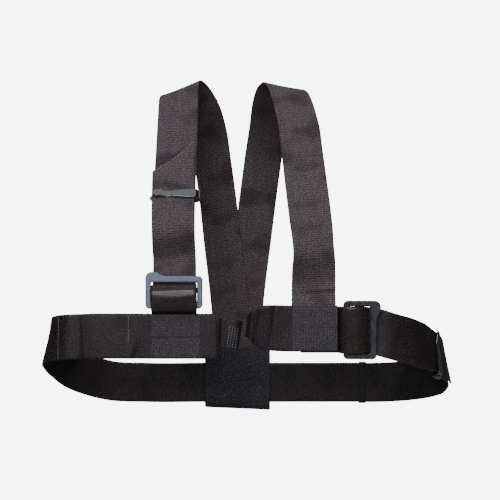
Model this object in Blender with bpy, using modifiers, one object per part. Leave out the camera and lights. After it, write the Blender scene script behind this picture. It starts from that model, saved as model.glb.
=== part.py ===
"""Webbing chest harness: two shoulder straps, a waist belt, two adjuster buckles and two spring clips.

World units are metres. Points along the webbing are written in millimetres with mm().
+Z is up, the front of the harness faces -Y, and +X is the wearer's left side.
The origin lies midway between the undersides of the two shoulder arches.
"""
import math

import bmesh
import bpy
from mathutils import Matrix, Vector

MM = 0.001

# Webbing
WEB_WIDTH = 45.0
STRAP_WIDTH = 43.4
EYE_WIDTH = 25.0
GATHER = 24.0              # how much narrower the left front eye is at its fold
WEB_THICKNESS = 2.0
LAYER_PITCH = 2.4          # thickness of one layer and the gap to the next
BUCKLE_LIFT = 5.4          # how far the tail stands off where it leaves the right buckle
BELT_BUCKLE_LIFT = 4.1     # the same at the left buckle
TAIL_LIFT = 2.9            # the same for a strap's loose tail

# Adjuster buckle, measured from the axis of its lower bar
FRAME_WIDTH = 57.2
FRAME_TOP = 30.0
FRAME_BOTTOM = -2.8
FRAME_THICKNESS = 4.0
WINDOW_WIDTH = 45.9
WINDOW_TOP = 23.6
WINDOW_BOTTOM = 2.7
WINDOW_CORNER = 1.5
FRAME_CORNER = 4.5
FRAME_EDGE = 1.1            # how far the frame's edges are rounded
LOBE_HEIGHT = 4.0
LOBE_WIDTH = 19.0
LOBE_SLOPE = 9.0           # length of the lobe's falling edge
LOBE_CORNER = 6.0
LOBE_STEPS = 6
EAR_THICKNESS = 1.6
EAR_DEPTH = 10.5
EAR_INNER = 25.4
EAR_LOW = 5.5
EAR_HIGH = 21.5
EAR_ROOT = 1.0              # how far the ears sink into the frame
EAR_CORNER = 0.9
SLIDE_BAR_HEIGHT = 5.0
SLIDE_BAR_DEPTH = 4.0
SLIDE_BAR_LENGTH = 56.4
SLIDE_BAR_Y = 7.6
SLIDE_BAR_Z = 15.2
SLIDE_BAR_TRAVEL = 3.0
SLIDE_BAR_ROUND = 1.6
SLOT_CLEARANCE = 0.35

# Spring clip, measured from the middle of the strap it holds
CLIP_HALF_LENGTH = 25.6
CLIP_HEIGHT = 12.0
CLIP_THICKNESS = 1.1
CLIP_BACK_Y = 3.5
CLIP_FRONT_Y = -3.8
CLIP_WALL_X = 25.9
CLIP_PIVOT_X = 24.3
CLIP_HINGE_Y = 1.2          # where the arm's root is hinged to the plate
CLIP_TONGUE = 8.4           # width of the arm's free end
RIGHT_CLIP_STATION = 6.93
LEFT_CLIP_STATION = 21.0

# Centres of the buckles' lower bars
RIGHT_BUCKLE_PLACE = (-55.7, -149.0, -234.8)
LEFT_BUCKLE_PLACE = (113.7, -176.6, -257.0)

BACK_SLEEVE_X = (-31.5, 43.0)
BACK_SLEEVE_Y = (42.6, 59.2)
BACK_SLEEVE_Z = (-360.0, -291.0)
ELASTIC_PLACE = (148.0, 46.6, -330.0)
ELASTIC_WIDTH = 8.0

STRAP_COLOUR = (0.062, 0.052, 0.056)
BELT_COLOUR = (0.030, 0.029, 0.034)
LOOP_COLOUR = (0.028, 0.022, 0.022)
SLEEVE_COLOUR = (0.020, 0.020, 0.022)
ELASTIC_COLOUR = (0.014, 0.014, 0.015)
BLUE_STEEL = (0.135, 0.150, 0.205)
BLACK_STEEL = (0.028, 0.030, 0.036)
CLIP_STEEL = (0.22, 0.22, 0.23)

HARNESS = "webbing_harness"
CUTTERS = "cutters"


def mm(x, y, z):
    """A point or size in millimetres, as metres."""
    return Vector((x * MM, y * MM, z * MM))


def clear_scene():
    for obj in list(bpy.data.objects):
        bpy.data.objects.remove(obj, do_unlink=True)


def make_collection(name):
    collection = bpy.data.collections.new(name)
    bpy.context.scene.collection.children.link(collection)
    return collection


def make_material(name, colour, roughness, metallic=0.0):
    material = bpy.data.materials.new(name)
    material.use_nodes = True
    shader = material.node_tree.nodes["Principled BSDF"]
    shader.inputs["Base Color"].default_value = (*colour, 1.0)
    shader.inputs["Roughness"].default_value = roughness
    shader.inputs["Metallic"].default_value = metallic
    return material


def add_object(name, mesh, material, parent=None):
    obj = bpy.data.objects.new(name, mesh)
    obj.data.materials.append(material)
    bpy.data.collections[HARNESS].objects.link(obj)
    obj.parent = parent
    return obj


def add_empty(name, place, turn=0.0):
    """An empty on a joint axis, turned about Y."""
    empty = bpy.data.objects.new(name, None)
    empty.location = mm(*place)
    empty.rotation_euler = (0.0, turn, 0.0)
    empty.empty_display_size = 0.01
    bpy.data.collections[HARNESS].objects.link(empty)
    return empty


# ---------------------------------------------------------------- webbing

SIDEWAYS = (1, 0, 0)
UP = (0, 0, 1)


class Route:
    """A smooth centreline through stations, each (point, across): across is the width's direction."""

    def __init__(self, stations):
        self.points = [mm(*point) for point, _ in stations]
        self.across = [Vector(across).normalized() for _, across in stations]
        self.last = len(stations) - 1
        self.gaps = [(b - a).length for a, b in zip(self.points, self.points[1:])]

    def slope(self, values, i):
        """Rate of change of the values at station i, per metre of route."""
        if i == 0 or i == self.last:
            j = min(i, self.last - 1)
            return (values[j + 1] - values[j]) / self.gaps[j]
        before = (values[i] - values[i - 1]) / self.gaps[i - 1]
        after = (values[i + 1] - values[i]) / self.gaps[i]
        return (before * self.gaps[i] + after * self.gaps[i - 1]) / (self.gaps[i] + self.gaps[i - 1])

    def blend(self, values, u):
        """Smooth interpolation of the station values at station number u."""
        i = min(int(max(u, 0.0)), self.last - 1)
        f = u - i
        gap = self.gaps[i]
        start = values[i] * (1 - 3 * f ** 2 + 2 * f ** 3) + values[i + 1] * (3 * f ** 2 - 2 * f ** 3)
        leave = self.slope(values, i) * (gap * (f - 2 * f ** 2 + f ** 3))
        arrive = self.slope(values, i + 1) * (gap * (f ** 3 - f ** 2))
        return start + leave + arrive

    def frame(self, u):
        """Point, width direction and outward normal at station number u."""
        step = 0.02
        point = self.blend(self.points, u)
        along = self.blend(self.points, u + step) - self.blend(self.points, u - step)
        along.normalize()
        across = self.blend(self.across, u)
        across -= along * across.dot(along)
        across.normalize()
        return point, across, across.cross(along)


def ribbon(name, route, material, start=0.0, end=None, width=WEB_WIDTH, steps=24, lift=0.0,
           shift=0.0, cut_start=0.0, cut_end=0.0, columns=2, thickness=WEB_THICKNESS, parent=None):
    """A length of webbing along a route.

    lift moves it off the route along the normal, shift moves it sideways, and width scales it;
    each is a number in millimetres or a function of the fraction along the length.
    cut_start and cut_end slant the ends: stations gained from one edge to the other.
    """
    end = route.last if end is None else end
    value = lambda item, s: item(s) if callable(item) else item
    mesh = bpy.data.meshes.new(name)
    bm = bmesh.new()
    bmesh.ops.create_grid(bm, x_segments=columns, y_segments=steps, size=0.5)
    for vert in bm.verts:
        v = vert.co.x
        s = vert.co.y + 0.5
        first = start + cut_start * v
        final = end + cut_end * v
        point, across, normal = route.frame(first + (final - first) * s)
        side = v * value(width, s) + value(shift, s)
        vert.co = point + across * (side * MM) + normal * (value(lift, s) * MM)
    bm.to_mesh(mesh)
    bm.free()
    obj = add_object(name, mesh, material, parent)
    wall = obj.modifiers.new("thickness", "SOLIDIFY")
    wall.thickness = thickness * MM
    wall.offset = 0.0
    wall.use_even_offset = True
    return obj


def ramp(s, low, high, start, finish):
    """low before start, high after finish, and a smooth change between them."""
    t = min(max((s - start) / (finish - start), 0.0), 1.0)
    return low + (high - low) * t * t * (3 - 2 * t)


# ---------------------------------------------------------------- flat metal

def arc(centre, radius, start, finish, steps=5):
    """Points on a circle's arc, angles in degrees."""
    points = []
    for i in range(steps + 1):
        angle = math.radians(start + (finish - start) * i / steps)
        points.append((centre[0] + radius * math.cos(angle), centre[1] + radius * math.sin(angle)))
    return points


def rounded_box(x0, z0, x1, z1, radius, steps=4):
    """A rectangle with rounded corners, counterclockwise from its lower right corner."""
    return (arc((x1 - radius, z0 + radius), radius, -90, 0, steps)
            + arc((x1 - radius, z1 - radius), radius, 0, 90, steps)
            + arc((x0 + radius, z1 - radius), radius, 90, 180, steps)
            + arc((x0 + radius, z0 + radius), radius, 180, 270, steps))


def plate(name, outlines, thickness, matrix):
    """A flat outline, with any further outlines as holes, filled and extruded as one closed mesh."""
    curve = bpy.data.curves.new(name, "CURVE")
    curve.dimensions = "2D"
    curve.fill_mode = "BOTH"
    curve.extrude = thickness / 2 * MM
    for outline in outlines:
        spline = curve.splines.new("POLY")
        spline.points.add(len(outline) - 1)
        for point, (a, b) in zip(spline.points, outline):
            point.co = (a * MM, b * MM, 0.0, 1.0)
        spline.use_cyclic_u = True
    drawn = bpy.data.objects.new(name, curve)
    bpy.context.scene.collection.objects.link(drawn)
    bpy.context.view_layer.update()
    mesh = bpy.data.meshes.new_from_object(drawn.evaluated_get(bpy.context.evaluated_depsgraph_get()))
    bpy.data.objects.remove(drawn)
    bpy.data.curves.remove(curve)
    bm = bmesh.new()
    bm.from_mesh(mesh)
    bmesh.ops.remove_doubles(bm, verts=bm.verts, dist=0.00001)
    bmesh.ops.dissolve_limit(bm, angle_limit=math.radians(1), verts=bm.verts, edges=bm.edges)
    bmesh.ops.transform(bm, matrix=matrix, verts=bm.verts)
    bmesh.ops.recalc_face_normals(bm, faces=bm.faces)
    bm.to_mesh(mesh)
    bm.free()
    mesh.name = name
    return mesh


# A plate is drawn in XY. These stand it up, or move it, in millimetres.
FACING_FRONT = Matrix.Rotation(math.radians(90), 4, "X")
FACING_SIDE = Matrix.Rotation(math.radians(90), 4, "Y") @ Matrix.Rotation(math.radians(90), 4, "Z")


def round_edges(obj, width, segments=2):
    bevel = obj.modifiers.new("rounded_edges", "BEVEL")
    bevel.width = width * MM
    bevel.segments = segments
    bevel.limit_method = "ANGLE"
    bevel.angle_limit = math.radians(40)


def join(target, other):
    """Boolean union of a second object into the first, which keeps its name."""
    union = target.modifiers.new("joined", "BOOLEAN")
    union.operation = "UNION"
    union.object = other
    put_with_cutters(other)


def put_with_cutters(obj):
    for collection in list(obj.users_collection):
        collection.objects.unlink(obj)
    bpy.data.collections[CUTTERS].objects.link(obj)
    obj.hide_render = True
    obj.display_type = "WIRE"


# ---------------------------------------------------------------- the buckle

def buckle_frame(name, material, axis):
    """The flat frame with its thumb lobe, and two ears behind it that carry the slide bar."""
    half = FRAME_WIDTH / 2
    lobe = []
    for i in range(LOBE_STEPS + 1):
        s = i / LOBE_STEPS
        rise = LOBE_HEIGHT * (1 - math.cos(math.pi * s)) / 2
        lobe.append((-half + LOBE_WIDTH - s * LOBE_SLOPE, FRAME_TOP + rise))
    outline = (arc((half - FRAME_CORNER, FRAME_BOTTOM + FRAME_CORNER), FRAME_CORNER, -90, 0)
               + arc((half - FRAME_CORNER, FRAME_TOP - FRAME_CORNER), FRAME_CORNER, 0, 90)
               + lobe
               + arc((-half + LOBE_CORNER, FRAME_TOP + LOBE_HEIGHT - LOBE_CORNER), LOBE_CORNER, 90, 180)
               + arc((-half + FRAME_CORNER, FRAME_BOTTOM + FRAME_CORNER), FRAME_CORNER, 180, 270))
    window = rounded_box(-WINDOW_WIDTH / 2, WINDOW_BOTTOM, WINDOW_WIDTH / 2, WINDOW_TOP, WINDOW_CORNER, 3)
    mesh = plate(name, [outline, window], FRAME_THICKNESS, FACING_FRONT)
    frame = add_object(name, mesh, material, axis)
    round_edges(frame, FRAME_EDGE)
    for side in (-1, 1):
        ear = buckle_ear(name + ("_ear_low" if side < 0 else "_ear_high"), side, material, axis)
        join(frame, ear)
    return frame


def buckle_ear(name, side, material, axis):
    """One side ear with the long slot that the slide bar's end runs in."""
    front = FRAME_THICKNESS / 2 - EAR_ROOT
    back = FRAME_THICKNESS / 2 + EAR_DEPTH
    slot_low = SLIDE_BAR_Z - SLIDE_BAR_HEIGHT / 2 - SLIDE_BAR_TRAVEL - SLOT_CLEARANCE
    slot_high = SLIDE_BAR_Z + SLIDE_BAR_HEIGHT / 2 + SLOT_CLEARANCE
    slot_front = SLIDE_BAR_Y - SLIDE_BAR_DEPTH / 2 - SLOT_CLEARANCE
    slot_back = SLIDE_BAR_Y + SLIDE_BAR_DEPTH / 2 + SLOT_CLEARANCE
    outline = rounded_box(front, EAR_LOW, back, EAR_HIGH, EAR_CORNER, 2)
    slot = rounded_box(slot_front, slot_low, slot_back, slot_high, EAR_CORNER, 2)
    place = Matrix.Translation(mm(side * (EAR_INNER + EAR_THICKNESS / 2), 0, 0)) @ FACING_SIDE
    return add_object(name, plate(name, [outline, slot], EAR_THICKNESS, place), material, axis)


def slide_bar(name, material, axis):
    """The loose bar that the adjustable webbing turns round."""
    half_y = SLIDE_BAR_DEPTH / 2
    half_z = SLIDE_BAR_HEIGHT / 2
    outline = rounded_box(SLIDE_BAR_Y - half_y, SLIDE_BAR_Z - half_z,
                          SLIDE_BAR_Y + half_y, SLIDE_BAR_Z + half_z, SLIDE_BAR_ROUND, 4)
    mesh = plate(name, [outline], SLIDE_BAR_LENGTH, FACING_SIDE)
    return add_object(name, mesh, material, axis)




def buckle_webbing(prefix, loop_material, strap_material, axis):
    """The sewn loop over the lower bar, and the strap's turn round the slide bar."""
    loop_points = [(0, -4.2, -4.2), (0, -5.6, 0.5), (0, -6.9, 6.0), (0, -7.0, 12.0), (0, -5.4, 17.2),
                   (0, -2.4, 20.3), (0, 0.6, 18.6), (0, 0.9, 12.0), (0, 2.2, 7.0), (0, 4.3, 2.8),
                   (0, 4.5, -1.0), (0, 4.3, -4.2)]
    turn_points = [(0, 3.9, 18.6), (0, 4.0, 16.0), (0, 3.9, 12.5), (0, 5.0, 9.2), (0, 7.6, 8.2),
                   (0, 10.2, 9.2), (0, 11.3, 12.5), (0, 11.0, 15.5), (0, 9.9, 18.6)]
    loop = Route([(point, SIDEWAYS) for point in loop_points])
    turn = Route([(point, SIDEWAYS) for point in turn_points])
    ribbon(prefix + "_anchor_loop", loop, loop_material, steps=34, columns=1, parent=axis)
    ribbon(prefix + "_strap_turn", turn, strap_material, steps=26, columns=1, parent=axis)


def build_buckle(prefix, place, turn, frame_material, loop_material, strap_material):
    axis = add_empty(prefix + "_buckle_axis", place, turn)
    buckle_frame(prefix + "_buckle_frame", frame_material, axis)
    slide_bar(prefix + "_slide_bar", frame_material, axis)
    buckle_webbing(prefix, loop_material, strap_material, axis)


# ---------------------------------------------------------------- the spring clip

def build_clip(prefix, route, station, material, lift, flip=1):
    """A spring clip over two layers of webbing: a plate behind them and a hinged arm in front."""
    point, across, normal = route.frame(station)
    along = across.cross(normal)
    place = Matrix((across * flip, -normal, along * -flip)).transposed().to_4x4()
    place.translation = point + normal * (lift * MM)
    axis = bpy.data.objects.new(prefix + "_clip_place", None)
    axis.matrix_world = place
    bpy.data.collections[HARNESS].objects.link(axis)
    wall_y = CLIP_FRONT_Y + 0.4
    back_points = [(-CLIP_HALF_LENGTH, CLIP_BACK_Y, 0), (-10, CLIP_BACK_Y, 0), (10, CLIP_BACK_Y, 0),
                   (CLIP_WALL_X - 3.1, CLIP_BACK_Y, 0), (CLIP_WALL_X - 0.7, CLIP_BACK_Y - 0.7, 0),
                   (CLIP_WALL_X, CLIP_BACK_Y - 2.4, 0), (CLIP_WALL_X, wall_y, 0)]
    arm_points = [(CLIP_PIVOT_X, CLIP_HINGE_Y, 0), (CLIP_PIVOT_X, -CLIP_HINGE_Y, 0),
                  (CLIP_PIVOT_X - 1.6, CLIP_FRONT_Y, 0), (14, CLIP_FRONT_Y - 0.5, 0),
                  (2, CLIP_FRONT_Y - 0.7, 0), (-10, CLIP_FRONT_Y, 0), (-13.5, CLIP_FRONT_Y - 1.2, 0),
                  (-17, CLIP_FRONT_Y - 1.9, 0), (-22.0, CLIP_FRONT_Y - 1.5, 0)]
    back = Route([(point, UP) for point in back_points])
    arm = Route([(point, UP) for point in arm_points])
    ribbon(prefix + "_clip_plate", back, material, steps=26, columns=1, width=plate_width,
           thickness=CLIP_THICKNESS, parent=axis)
    ribbon(prefix + "_clip_arm", arm, material, steps=30, columns=1, width=arm_width,
           thickness=CLIP_THICKNESS, parent=axis)


def plate_width(s):
    """Full height, with one rounded end."""
    return CLIP_HEIGHT * (1 - 0.85 * max(0.0, 1 - s / 0.09) ** 2.6)


def arm_width(s):
    """Full height to the bend, then narrower, and rounded at the tip."""
    tongue = ramp(s, CLIP_HEIGHT, CLIP_TONGUE, 0.45, 0.62) + ramp(s, 0, 1.8, 0.72, 0.86)
    return tongue - 7.5 * max(0.0, (s - 0.9) / 0.1) ** 3


# ---------------------------------------------------------------- the straps' routes

# The wearer's right strap: from the buckle up the chest, over the shoulder and down the back.
RIGHT_SHOULDER = [
    ((-55.5, -139.7, -212.0), (1, 0, 0)), ((-55.5, -140.3, -205.5), (1, 0, 0)),
    ((-56, -128.5, -194.5), (1, 0, 0)), ((-56.3, -127, -188), (1, 0, 0)),
    ((-56.7, -130, -176), (1, 0, 0)), ((-57, -134, -162), (1, 0, 0)),
    ((-57.5, -124, -143.5), (1, 0, 0)), ((-57.7, -107, -123), (1, 0, 0)),
    ((-57.9, -90.4, -103), (1, 0, 0)), ((-57.9, -73.8, -83), (1, 0, 0)),
    ((-57.5, -54, -53), (1, 0, 0.02)), ((-57.6, -36, -27), (1, 0, 0.10)),
    ((-57.4, -20, -8), (1, 0, 0.27)), ((-55, 2, -0.5), (1, 0, 0.42)), ((-46, 28, -4.5), (1, 0.0, 0.42)),
    ((-36, 47, -19), (1, 0.0, 0.30)), ((-28.2, 68, -43.7), (1, 0, 0.20)),
    ((-23.5, 79, -75.3), (1, 0, 0.17)), ((-17.7, 82, -118.3), (1, 0, 0.15)),
    ((-12.2, 77, -168.1), (1, 0, 0.13)), ((-3.9, 62, -235.5), (1, 0, 0.12)),
    ((1.0, 52.0, -289), (1, 0, 0.07)), ((3.2, 51.2, -315), (1, 0, 0.05)),
    ((4.5, 51.2, -350), (1, 0, 0.05))]

# The wearer's left strap: from the front panel up the chest, over the shoulder and down the back.
LEFT_SHOULDER = [
    ((82.2, -174, -276), (1, 0, 0)), ((82.2, -174, -244), (1, 0, 0)), ((82.2, -173.9, -235), (1, 0, 0)),
    ((82.3, -172, -229), (1, 0, 0)), ((82.4, -165.5, -221), (1, 0, 0)),
    ((82.6, -163.5, -213), (1, 0, 0)), ((82.7, -166, -199), (0.98, 0.12, 0)),
    ((82.8, -170.5, -184), (0.94, 0.30, 0)), ((81.8, -165, -168), (0.94, 0.30, 0)),
    ((80.4, -150, -149), (0.98, 0.15, 0)), ((77.1, -117, -109.6), (1, 0, -0.02)),
    ((74.3, -88, -76.0), (1, 0, -0.04)), ((70.9, -62, -44.4), (1, 0, -0.06)),
    ((65.6, -38, -18), (1, 0, -0.12)), ((61, -19, -4), (1, 0, -0.17)), ((55.5, 2, 1.6), (1, 0, -0.19)),
    ((48.5, 24, -2.5), (1, 0, -0.17)), ((43.8, 45, -16), (1, 0, -0.16)),
    ((40.8, 64, -38.2), (1, 0, -0.15)), ((35.6, 79.4, -70.8), (1, 0, -0.14)),
    ((32.0, 84, -97.4), (1, 0, -0.14)), ((23.0, 80.6, -168.0), (1, 0, -0.13)),
    ((14.5, 65.2, -235.5), (1, 0, -0.11)), ((10.5, 54.6, -289), (1, 0, -0.05)),
    ((9.3, 53.9, -315), (1, 0, -0.03)), ((8.6, 53.9, -350), (1, 0, -0.02))]

# The waist belt: from the wearer's right front eye round the right side, the back and the left side
# to the belt buckle. The sides lean in at the top.
RIGHT_LEAN = (0.24, 0, 1)
LEFT_LEAN = (-0.20, 0, 1)
WAIST = [
    ((-14, -139.2, -265.2), UP), ((-77, -139.2, -265.2), UP), ((-147, -139.2, -265.4), UP),
    ((-166, -137, -266.4), (0.04, 0, 1)), ((-180.5, -125, -269), (0.14, 0, 1)),
    ((-189, -96, -275), RIGHT_LEAN), ((-193, -55, -284), RIGHT_LEAN), ((-190, -14, -296.5), RIGHT_LEAN),
    ((-174, 20, -314), (0.16, 0, 1)), ((-138, 41, -327.5), (0.04, 0, 1)), ((-97, 46, -330), UP),
    ((-31, 47, -330), UP), ((43, 47, -330), UP), ((103, 47, -330), UP), ((140, 47.2, -330), UP),
    ((158, 45.5, -330), UP), ((200, 29, -326), (-0.14, 0, 1)), ((221.5, -4, -317.5), LEFT_LEAN),
    ((226, -46, -306), LEFT_LEAN), ((222.5, -80, -296.5), LEFT_LEAN), ((215, -105, -289), LEFT_LEAN),
    ((206.5, -122, -283.5), LEFT_LEAN), ((198, -139, -278), LEFT_LEAN),
    ((186, -154, -272.6), (-0.12, 0, 1)), ((171, -164.0, -267.2), (-0.05, 0, 1)),
    ((153, -169.0, -261.8), UP), ((146, -168.9, -259.4), UP), ((140.4, -168.6, -258.8), UP)]

# The wearer's left front panel: sewn block, gathered front eye and the rear layer.
LEFT_PANEL = [
    ((105.6, -176.5, -255.8), UP), ((66, -176.5, -255.8), UP), ((57, -176.6, -255.8), UP),
    ((45, -177.5, -255.4), (0.0, -0.06, 1)), ((33, -178.5, -254.6), (0.05, -0.18, 1)),
    ((22, -178.2, -253.8), (0.12, -0.22, 1)), ((17.4, -173, -253.6), (0.10, -0.1, 1)),
    ((22, -167.4, -253.8), (0, 0, 1)), ((33, -166.2, -254.6), UP), ((45, -166.6, -255.4), UP),
    ((57, -166.4, -255.8), UP), ((66, -166.4, -255.8), UP), ((105.6, -166.4, -255.8), UP)]

# The wearer's right front eye, a narrower loop sewn between the panel and the belt.
RIGHT_EYE = [
    ((-30, -144.0, -263.5), UP), ((-14, -144.0, -263.5), UP), ((-2, -146.2, -264.3), (0.08, 0, 1)),
    ((5.6, -146.2, -265.6), (0.14, 0, 1)), ((9.4, -142.2, -266.2), (0.14, 0, 1)),
    ((5.6, -138.2, -265.6), (0.14, 0, 1)), ((-2, -138.6, -264.3), (0.08, 0, 1)),
    ((-14, -141.6, -263.5), UP), ((-30, -141.6, -263.5), UP)]


def build_shoulder_straps(strap):
    right = Route(RIGHT_SHOULDER)
    left = Route(LEFT_SHOULDER)
    ribbon("right_shoulder_strap", right, strap, steps=170, width=STRAP_WIDTH)
    ribbon("left_shoulder_strap", left, strap, steps=130, width=STRAP_WIDTH)
    ribbon("right_strap_tail", right, strap, start=0.0, end=8.95, cut_end=1.55, steps=60, columns=8,
           width=STRAP_WIDTH, lift=lambda s: ramp(s, BUCKLE_LIFT, TAIL_LIFT, 0.0, 0.14),
           shift=lambda s: ramp(s, 0, -2.0, 0.5, 0.95))
    return right


def build_waist(belt):
    waist = Route(WAIST)
    ribbon("waist_belt", waist, belt, steps=150)
    ribbon("belt_tail", waist, belt, start=18.8, end=waist.last, steps=50,
           lift=lambda s: ramp(s, TAIL_LIFT, BELT_BUCKLE_LIFT, 0.80, 1.0))
    ribbon("right_front_panel", waist, belt, start=0.0, end=3.45, cut_end=-0.22, steps=30,
           lift=lambda s: ramp(s, 3 * LAYER_PITCH, LAYER_PITCH, 0.50, 0.70))
    return waist


def gathered_width(s):
    """The panel's width, drawn in at its folded end."""
    return WEB_WIDTH - GATHER * math.exp(-((s - 0.5) / 0.11) ** 2)


def build_front_eyes(panel):
    ribbon("left_front_panel", Route(LEFT_PANEL), panel, steps=60, width=gathered_width)
    ribbon("right_front_eye", Route(RIGHT_EYE), panel, steps=44, width=EYE_WIDTH)


def build_sewn_tabs(loop):
    """The ends of the two anchor loops inside the sewn blocks, folded once."""
    x, y, z = RIGHT_BUCKLE_PLACE
    tab = Route([((x, y + 5.0, z - 40), SIDEWAYS), ((x, y + 5.0, z - 9), SIDEWAYS)])
    ribbon("right_anchor_tab_front", tab, loop, steps=2, columns=1)
    ribbon("right_anchor_tab_rear", tab, loop, steps=2, columns=1, lift=-LAYER_PITCH)
    x, y, z = LEFT_BUCKLE_PLACE
    tab = Route([((x - 9, y + 5.2, z), UP), ((x - 44, y + 5.2, z), UP)])
    ribbon("left_anchor_tab_front", tab, loop, steps=2, columns=1)
    ribbon("left_anchor_tab_rear", tab, loop, steps=2, columns=1, lift=-LAYER_PITCH)


def build_back_sleeve(sleeve):
    """One wide piece folded up under the belt, holding the belt and the ends of both straps."""
    x0, x1 = BACK_SLEEVE_X
    z0, z1 = BACK_SLEEVE_Z
    y0, y1 = BACK_SLEEVE_Y
    radius = (y1 - y0) / 2
    middle = (y0 + y1) / 2
    outer = arc((middle, z0 + radius), radius, 180, 360, 12)
    inner = arc((middle, z0 + radius), radius - WEB_THICKNESS, 360, 180, 10)
    outline = ([(y0, z1)] + outer + [(y1, z1), (y1 - WEB_THICKNESS, z1)]
               + inner + [(y0 + WEB_THICKNESS, z1)])
    place = Matrix.Translation(mm((x0 + x1) / 2, 0, 0)) @ FACING_SIDE
    add_object("back_sleeve", plate("back_sleeve", [outline], x1 - x0, place), sleeve)


def build_elastic_keeper(elastic):
    """A narrow band round the back belt."""
    x, y, z = ELASTIC_PLACE
    half = WEB_WIDTH / 2
    hole = rounded_box(y - 2.1, z - half - 0.9, y + 2.1, z + half + 0.9, 1.2, 3)
    outline = rounded_box(y - 3.1, z - half - 1.9, y + 3.1, z + half + 1.9, 2.2, 3)
    place = Matrix.Translation(mm(x, 0, 0)) @ FACING_SIDE
    add_object("elastic_keeper", plate("elastic_keeper", [outline, hole], ELASTIC_WIDTH, place), elastic)


def main():
    clear_scene()
    make_collection(HARNESS)
    make_collection(CUTTERS)
    strap = make_material("shoulder webbing", STRAP_COLOUR, 0.75)
    belt = make_material("belt webbing", BELT_COLOUR, 0.6)
    loop = make_material("anchor webbing", LOOP_COLOUR, 0.6)
    sleeve = make_material("twill sleeve", SLEEVE_COLOUR, 0.85)
    elastic = make_material("elastic", ELASTIC_COLOUR, 0.8)
    blue = make_material("blue grey steel", BLUE_STEEL, 0.35, 0.8)
    black = make_material("black steel", BLACK_STEEL, 0.4, 0.6)
    spring = make_material("spring steel", CLIP_STEEL, 0.3, 0.9)
    right = build_shoulder_straps(strap)
    waist = build_waist(belt)
    build_front_eyes(belt)
    build_sewn_tabs(loop)
    build_back_sleeve(sleeve)
    build_elastic_keeper(elastic)
    build_buckle("right", RIGHT_BUCKLE_PLACE, 0.0, blue, loop, strap)
    build_buckle("left", LEFT_BUCKLE_PLACE, math.radians(90), black, loop, belt)
    build_clip("right", right, RIGHT_CLIP_STATION, spring, TAIL_LIFT / 2)
    build_clip("left", waist, LEFT_CLIP_STATION, spring, TAIL_LIFT / 2, flip=-1)


main()
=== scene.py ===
# %% [markdown]
# # Webbing chest harness
# This notebook dresses a finished CAD model of a chest harness: 45 mm webbing, two adjuster buckles and two
# spring clips. The CAD model fixes every size and joint. Here each web becomes a smooth woven band, made by
# carrying a rounded section along a path, and every surface gets a material built from nodes. All numbers
# are in metres, or in millimetres times MM.

# %% Load the frame
import math

import bpy
import numpy as np
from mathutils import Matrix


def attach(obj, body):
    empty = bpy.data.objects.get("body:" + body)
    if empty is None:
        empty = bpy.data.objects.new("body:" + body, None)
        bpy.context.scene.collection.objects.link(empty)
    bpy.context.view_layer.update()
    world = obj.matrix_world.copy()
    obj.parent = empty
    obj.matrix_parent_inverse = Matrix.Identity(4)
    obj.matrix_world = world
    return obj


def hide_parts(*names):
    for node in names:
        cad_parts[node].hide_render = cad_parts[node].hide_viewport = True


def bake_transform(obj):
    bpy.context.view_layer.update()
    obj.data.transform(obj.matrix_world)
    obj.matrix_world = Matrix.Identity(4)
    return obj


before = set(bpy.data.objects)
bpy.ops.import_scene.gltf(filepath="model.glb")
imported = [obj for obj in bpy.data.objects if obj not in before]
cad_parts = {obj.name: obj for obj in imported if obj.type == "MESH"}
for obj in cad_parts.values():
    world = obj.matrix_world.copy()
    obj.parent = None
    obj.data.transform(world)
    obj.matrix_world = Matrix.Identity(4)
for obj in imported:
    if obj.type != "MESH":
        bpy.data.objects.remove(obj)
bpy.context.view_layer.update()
MM = 0.001

# %% [markdown]
# ## Camera
# The harness is looked at from straight ahead with a long lens, so its near and far sides differ only a
# little in scale. A camera at a given place is simpler here than one aimed by a constraint.

# %% Camera
camera_data = bpy.data.cameras.new("camera")
camera_data.lens = 96.9
camera_data.sensor_width = 36.0
camera = bpy.data.objects.new("camera", camera_data)
camera.location = (0.020, -1.489, -0.179)
camera.rotation_euler = (math.radians(90), 0.0, 0.0)
bpy.context.scene.collection.objects.link(camera)
bpy.context.scene.camera = camera
print("camera at", tuple(round(x, 3) for x in camera.location))

# %% [markdown]
# ## Paths
# A web is a long flat band, so its shape is a path with a width direction. Bezier curves could hold the path,
# but a path in arrays can be sampled anywhere at once. Each path goes smoothly through its stations: between
# two of them it is a cubic whose end slopes are the average of the neighbouring chords, weighted so that a
# short gap never makes a long one swing out.

# %% Path helpers
def path(stations):
    """Two arrays from (point in mm, width direction) pairs: points in metres, and unit width directions."""
    points = np.array([point for point, _ in stations], float) * MM
    across = np.array([direction for _, direction in stations], float)
    return points, across / np.linalg.norm(across, axis=1, keepdims=True)


def cubic(values, gaps, u):
    """Hermite cubic: start(1-3f2+2f3) + end(3f2-2f3) + slopes times gap times (f-2f2+f3) and (f3-f2)."""
    chord = np.diff(values, axis=0) / gaps[:, None]
    inner = (chord[:-1] * gaps[1:, None] + chord[1:] * gaps[:-1, None]) / (gaps[1:] + gaps[:-1])[:, None]
    slope = np.vstack([chord[:1], inner, chord[-1:]])
    i = np.clip(u.astype(int), 0, len(values) - 2)
    f = (u - i)[..., None]
    gap = gaps[i][..., None]
    near = values[i] * (1 - 3 * f ** 2 + 2 * f ** 3) + values[i + 1] * (3 * f ** 2 - 2 * f ** 3)
    return near + gap * (slope[i] * (f - 2 * f ** 2 + f ** 3) + slope[i + 1] * (f ** 3 - f ** 2))


def unit(vectors):
    """Each vector divided by its length."""
    return vectors / np.linalg.norm(vectors, axis=-1, keepdims=True)


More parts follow.
